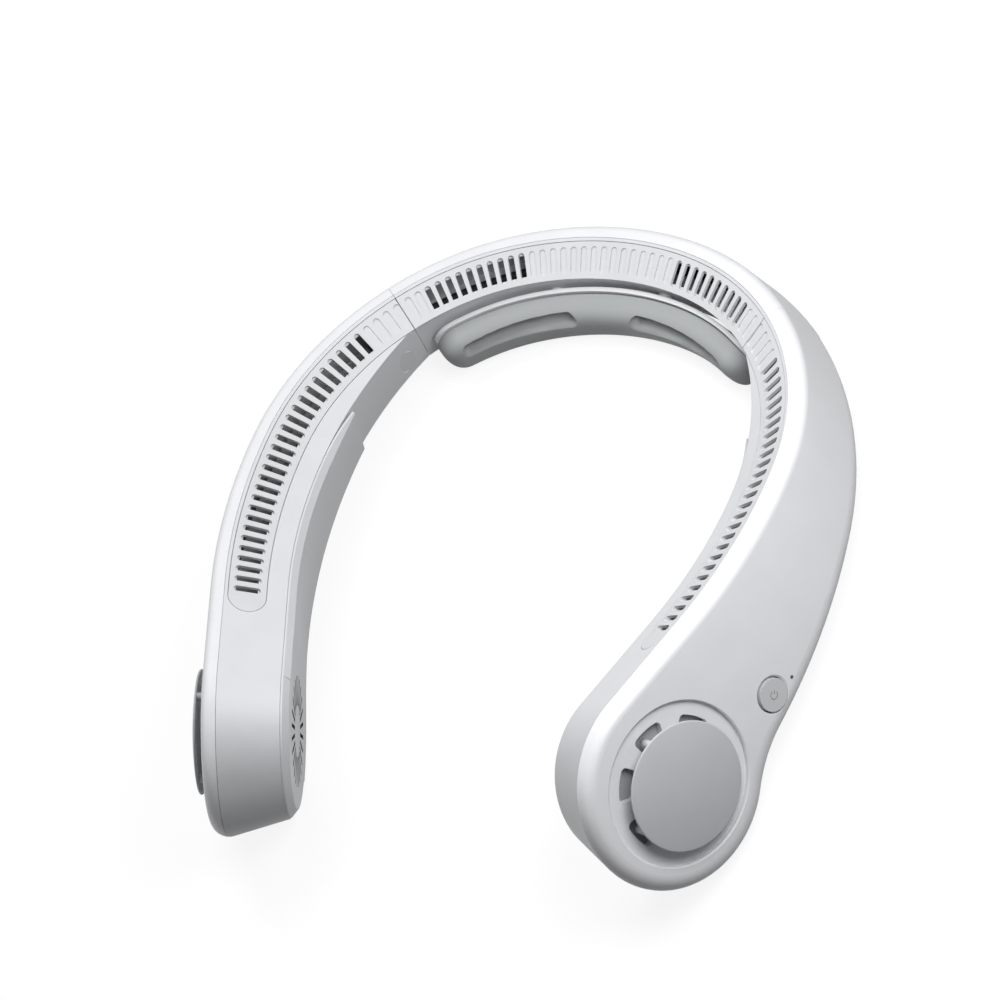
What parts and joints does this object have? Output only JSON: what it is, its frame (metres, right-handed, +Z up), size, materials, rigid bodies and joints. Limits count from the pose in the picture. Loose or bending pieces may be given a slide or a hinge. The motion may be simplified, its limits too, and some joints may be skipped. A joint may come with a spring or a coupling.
{
  "type": "neck fan",
  "caption": "Bladeless wearable neck fan: a white horseshoe collar with a blower lobe at each front end, slotted air outlets along the rim and a soft neck pad.",
  "frame": {"origin": "middle of the bounding box, on the floor plane the collar lies on", "axes": "+Z up with the collar lying on its feet, open front end towards -Y, back of the neck at +Y, wearer's left at +X"},
  "size_m": [0.1934, 0.2012, 0.0592],
  "materials": {
    "shell_white": "satin",
    "frame_white": "satin",
    "strip_grey": "matte",
    "cap_grey": "satin",
    "button_grey": "satin",
    "pad_rubber": "matte",
    "plate_white": "satin",
    "blower_grey": "matte",
    "magnet_dark": "matte",
    "core_steel": "matte",
    "shaft_steel": "bright",
    "bearing_brass": "satin",
    "cell_wrap": "satin",
    "board_green": "satin",
    "switch_black": "matte",
    "lamp_clear": "gloss",
    "wire_sleeve": "matte"
  },
  "bodies": {
    "collar": {"arm_frame_left": "frame_white", "arm_frame_right": "frame_white", "band_inner_shell": "frame_white", "band_outer_shell": "shell_white", "band_outlet_strip": "strip_grey", "battery_cell_left": "cell_wrap", "battery_cell_right": "cell_wrap", "case_screws": "shaft_steel", "control_board": "board_green", "duct_floor_left": "blower_grey", "duct_floor_right": "blower_grey", "inner_cover_left": "frame_white", "inner_cover_right": "frame_white", "intake_cap_left": "cap_grey", "intake_cap_right": "cap_grey", "joint_screws": "shaft_steel", "light_pipe": "lamp_clear", "motor_base_left": "blower_grey", "motor_base_right": "blower_grey", "motor_stator_left": "core_steel", "motor_stator_right": "core_steel", "neck_pad": "pad_rubber", "neck_pad_plate": "plate_white", "outer_shell_left": "shell_white", "outer_shell_right": "shell_white", "outlet_strip_left": "strip_grey", "outlet_strip_right": "strip_grey", "scroll_ring_left": "blower_grey", "scroll_ring_right": "blower_grey", "seam_plug_left": "frame_white", "seam_plug_right": "frame_white", "sleeve_bearing_left": "bearing_brass", "sleeve_bearing_right": "bearing_brass", "tact_switch": "switch_black", "usb_socket": "shaft_steel", "wire_loom": "wire_sleeve"},
    "blower_rotor_right": {"impeller_right": "blower_grey", "magnet_ring_right": "magnet_dark", "motor_shaft_right": "shaft_steel"},
    "blower_rotor_left": {"impeller_left": "blower_grey", "magnet_ring_left": "magnet_dark", "motor_shaft_left": "shaft_steel"},
    "power_button": {"power_button": "button_grey"}
  },
  "joints": [
    {"name": "blower_spin_right", "type": "hinge", "parent": "collar", "child": "blower_rotor_right", "pos_m": [0.06368, -0.06937, 0.02666], "axis": [0.8889, -0.2533, 0.3817], "continuous": true},
    {"name": "blower_spin_left", "type": "hinge", "parent": "collar", "child": "blower_rotor_left", "pos_m": [-0.06368, -0.06937, 0.02666], "axis": [-0.8889, -0.2533, 0.3817], "continuous": true},
    {"name": "power_button_press", "type": "slide", "parent": "collar", "child": "power_button", "axis": [-0.9004, 0.2213, -0.3747], "range_m": [0, 0.0005], "stiffness_N_per_m": 1500}
  ]
}
